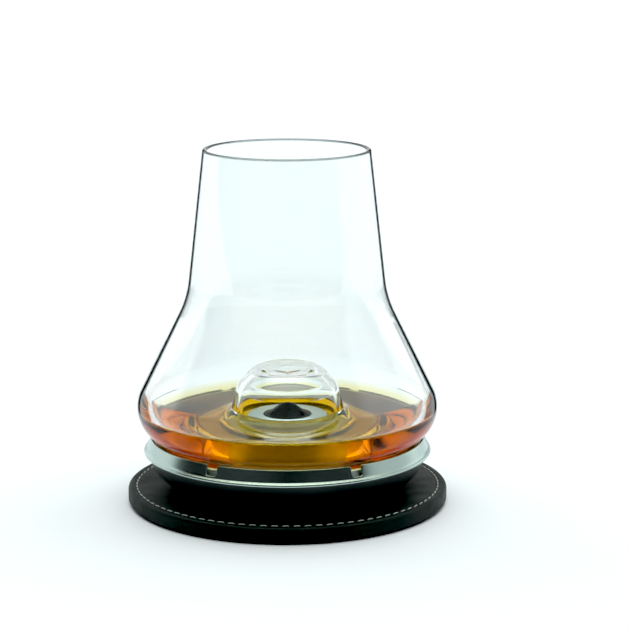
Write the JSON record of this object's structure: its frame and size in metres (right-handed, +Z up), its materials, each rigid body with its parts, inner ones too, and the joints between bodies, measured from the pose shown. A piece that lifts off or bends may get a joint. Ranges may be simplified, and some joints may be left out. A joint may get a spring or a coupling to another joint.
{
  "type": "whisky glass",
  "caption": "Whisky tasting glass with a domed punt, holding a pour, on a steel chilling base with a notched rim ring, standing on a round stitched leather coaster.",
  "frame": {"origin": "on the axis of the glass, on the table under the coaster", "axes": "+Z up along the axis; -Y faces the viewer of the picture, with two ring notches to its left and right"},
  "size_m": [0.11, 0.11, 0.1218],
  "materials": {
    "glass": "clear blown glass, fire polished, a faint mint tint",
    "whisky": "clear amber liquid",
    "ring_steel": "satin, turned, brighter along the edges",
    "pan_steel": "satin, turned",
    "shell_steel": "satin, dark in the shade under the ring",
    "plug_steel": "turned",
    "badge": "black enamel, bare",
    "gel": "translucent freezer gel",
    "rubber": "matt black",
    "leather": "near black, fine grain, soft sheen",
    "lining": "black split leather, matt",
    "board": "dense fibreboard",
    "thread": "waxed pale thread",
    "dark_thread": "waxed grey thread"
  },
  "bodies": {
    "coaster": {"coaster_lining": "lining", "coaster_board": "board", "coaster_leather": "leather", "top_thread": "thread", "under_thread": "dark_thread"},
    "base": {"foot_ring": "rubber", "base_shell": "shell_steel", "filler_bush": "plug_steel", "filler_plug": "plug_steel", "plug_seal": "rubber", "cooling_gel": "gel", "base_pan": "pan_steel", "rim_ring": "ring_steel", "boss_badge": "badge"},
    "glass": {"glass_bowl": "glass", "whisky": "whisky"}
  },
  "joints": [
    {"name": "base_lift", "type": "slide", "parent": "coaster", "child": "base", "axis": [0, 0, 1], "range_m": [0, 0.04]},
    {"name": "glass_lift", "type": "slide", "parent": "base", "child": "glass", "axis": [0, 0, 1], "range_m": [0, 0.06]}
  ]
}
